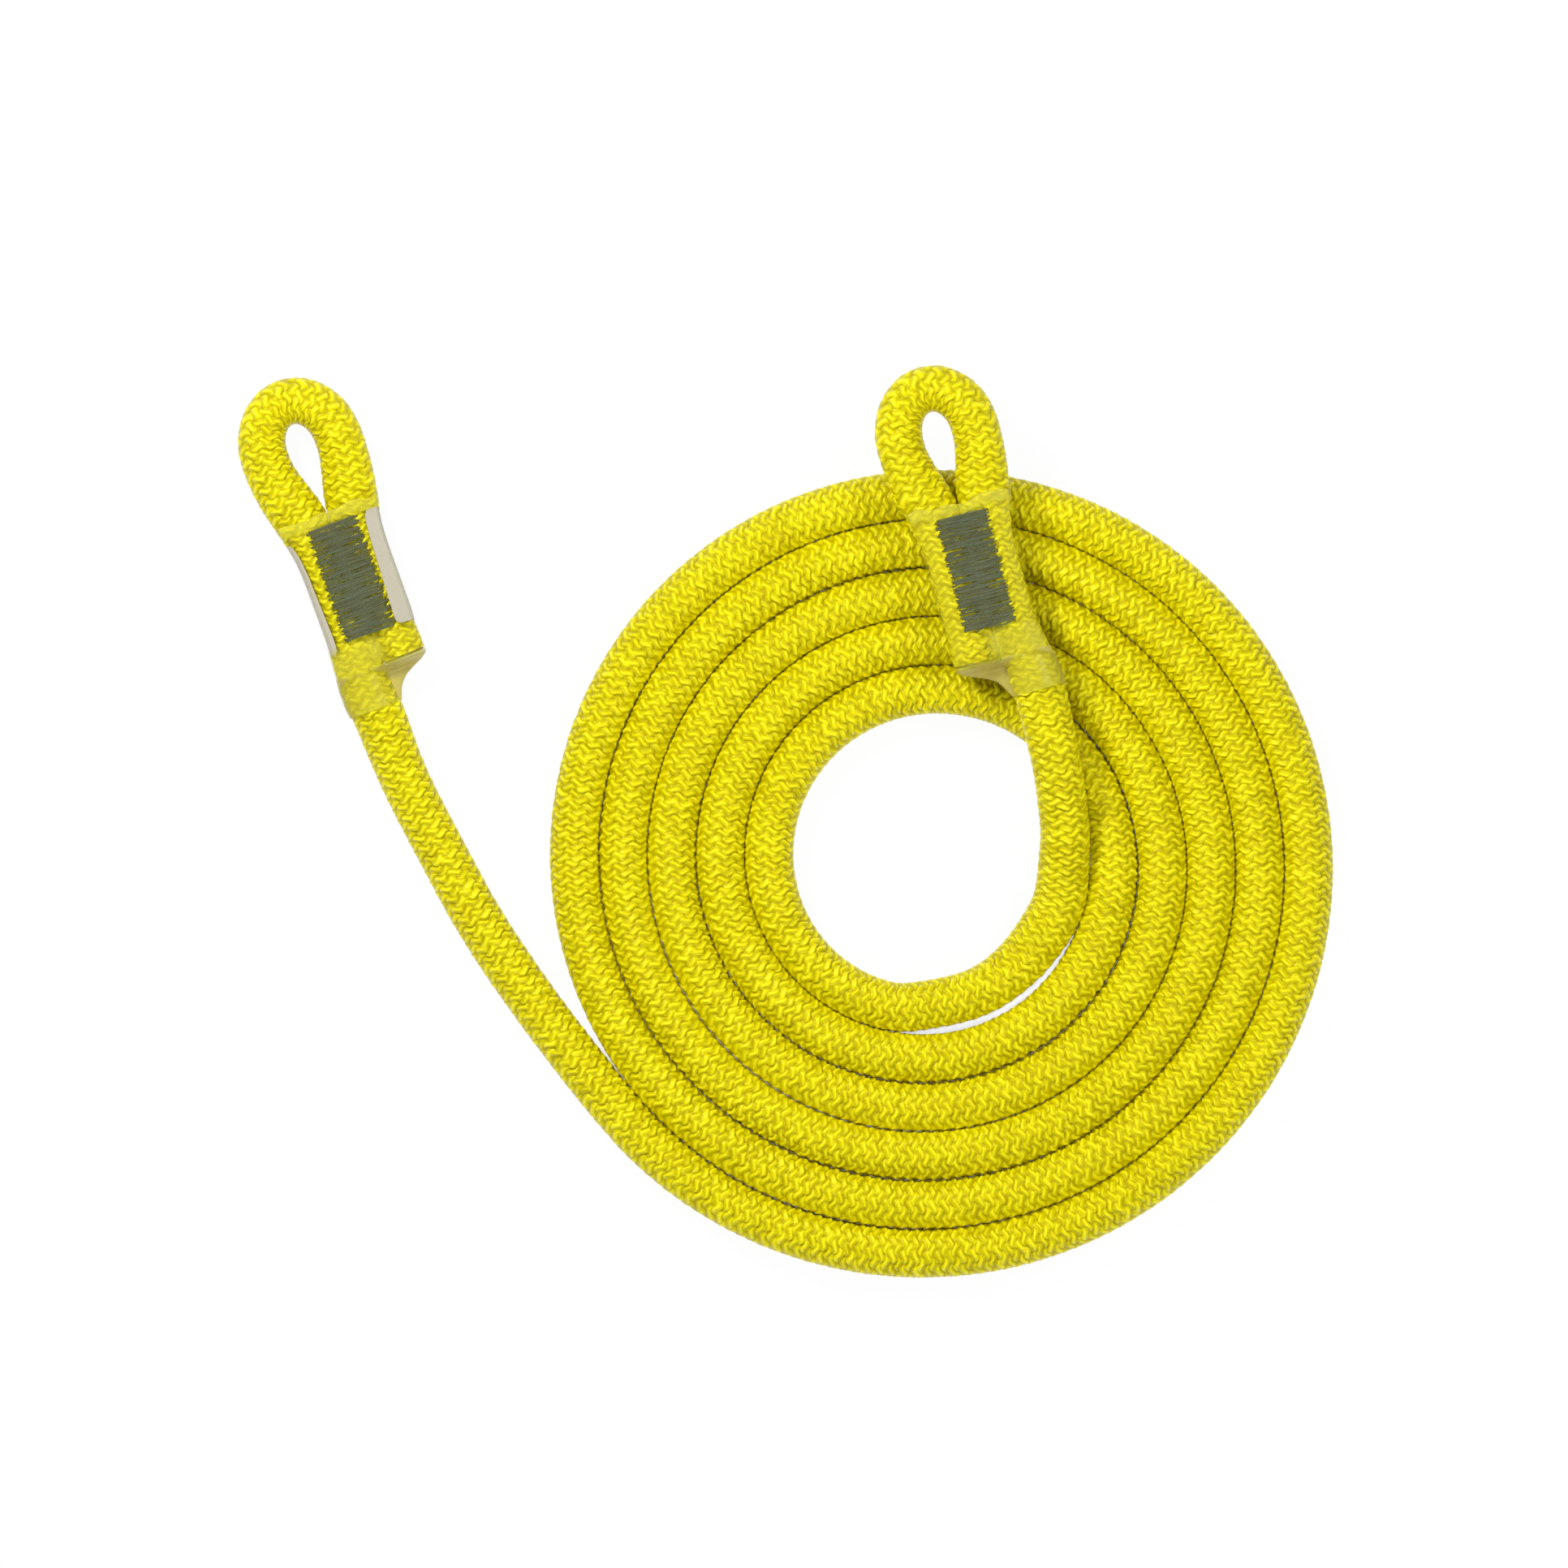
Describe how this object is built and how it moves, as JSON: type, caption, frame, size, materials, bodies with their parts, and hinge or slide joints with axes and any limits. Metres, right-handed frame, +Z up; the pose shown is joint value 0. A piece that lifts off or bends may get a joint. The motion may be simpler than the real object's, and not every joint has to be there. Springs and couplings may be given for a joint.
{
  "type": "climbing rope",
  "caption": "Eye-to-eye dynamic climbing rope in a flat coil: yellow braided sheath over a core, with a compact sewn eye in a clear heat-shrink sleeve at each end.",
  "frame": {"origin": "centre of the lying rope's box, on the surface that it lies on", "axes": "+X along the longest side, from the free eye towards the coil; +Y towards both eyes' loops; +Z up, out of the coil's plane"},
  "size_m": [0.2692, 0.2236, 0.0263],
  "materials": {
    "braid": "glossy braided polyamide",
    "core_yarn": "twisted polyamide yarn",
    "tape": "thin plain tape",
    "thread": "grey-green polyester thread",
    "film": "clear milky heat-shrink film",
    "label": "white film, bare",
    "melted": "melted and set polyamide"
  },
  "bodies": {
    "root": {"sheath_eye_a": "braid", "sheath_lead": "braid", "sheath_coil": "braid", "sheath_inner_run": "braid", "sheath_eye_b": "braid", "core_eye_a": "core_yarn", "core_lead": "core_yarn", "core_coil": "core_yarn", "core_inner_run": "core_yarn", "core_eye_b": "core_yarn", "marker_tape_eye_a": "tape", "marker_tape_lead": "tape", "marker_tape_coil": "tape", "marker_tape_inner_run": "tape", "marker_tape_eye_b": "tape", "needle_thread_eye_a": "thread", "bobbin_thread_eye_a": "thread", "needle_thread_eye_b": "thread", "bobbin_thread_eye_b": "thread", "clear_sleeve_eye_a": "film", "clear_sleeve_eye_b": "film", "label_eye_a": "label", "melted_tip_eye_a": "melted", "melted_tip_eye_b": "melted"}
  },
  "joints": []
}
